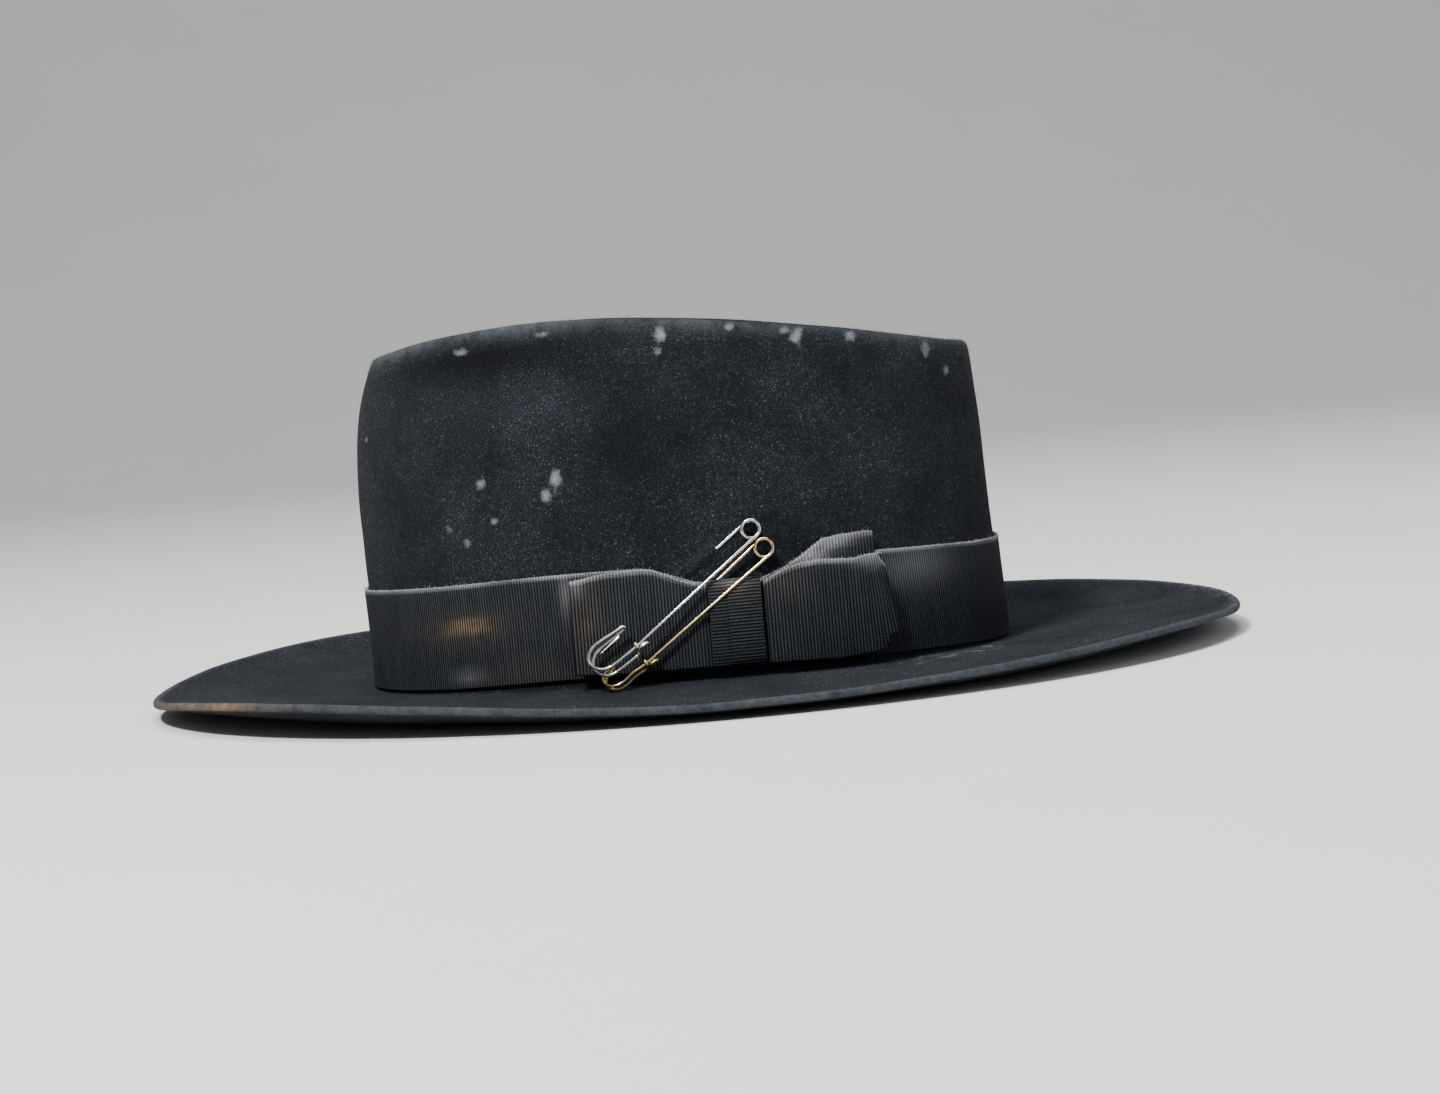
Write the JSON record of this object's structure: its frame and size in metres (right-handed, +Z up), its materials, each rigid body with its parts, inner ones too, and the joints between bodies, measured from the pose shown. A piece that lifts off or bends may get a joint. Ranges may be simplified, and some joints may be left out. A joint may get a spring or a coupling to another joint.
{
  "type": "fedora hat",
  "caption": "Fur felt fedora with a pinched crown, snap brim, grosgrain band and bow with two wire safety pins, leather sweatband and satin lining.",
  "frame": {"origin": "under the middle of the hat, on the plane that the brim rests on", "axes": "-X towards the front of the hat, -Y towards the wearer's left, where the bow is, +Z up"},
  "size_m": [0.3517, 0.3034, 0.1151],
  "materials": {
    "felt": "black fur felt, worn to grey along the crown's rim and the brim's edge",
    "ribbon": "black grosgrain ribbon with fine cross ribs",
    "leather": "dark brown smooth leather",
    "satin": "dark grey satin",
    "cord": "black ribbon sewn over a plastic reed",
    "clear": "thin clear film",
    "steel": "nickel plated steel wire",
    "brass": "brass plated steel wire"
  },
  "bodies": {
    "hat": {"felt_body": "felt", "hat_band": "ribbon", "bow_left_wing": "ribbon", "bow_right_wing": "ribbon", "bow_right_wing_back": "ribbon", "bow_knot": "ribbon", "bow_knot_pleat": "ribbon", "lining_side": "satin", "lining_tip": "satin", "lining_piping": "satin", "tip_guard": "clear", "sweatband": "leather", "sweatband_reed": "cord", "sweatband_seam_tape": "ribbon", "sweatband_bow_left": "ribbon", "sweatband_bow_right": "ribbon", "sweatband_bow_knot": "ribbon", "silver_pin_frame": "steel", "silver_pin_collar": "steel", "gold_pin_frame": "brass", "gold_pin_collar": "brass"},
    "silver_needle": {"silver_pin_needle": "steel"},
    "gold_needle": {"gold_pin_needle": "brass"}
  },
  "joints": [
    {"name": "silver_pin_open", "type": "hinge", "parent": "hat", "child": "silver_needle", "pos_m": [0.02034, -0.08054, 0.04826], "axis": [-0.0485, 0.9779, -0.2036], "range_deg": [0, 4]},
    {"name": "gold_pin_open", "type": "hinge", "parent": "hat", "child": "gold_needle", "pos_m": [0.02394, -0.08241, 0.04258], "axis": [-0.006, 0.9905, -0.1377], "range_deg": [0, 8]}
  ]
}
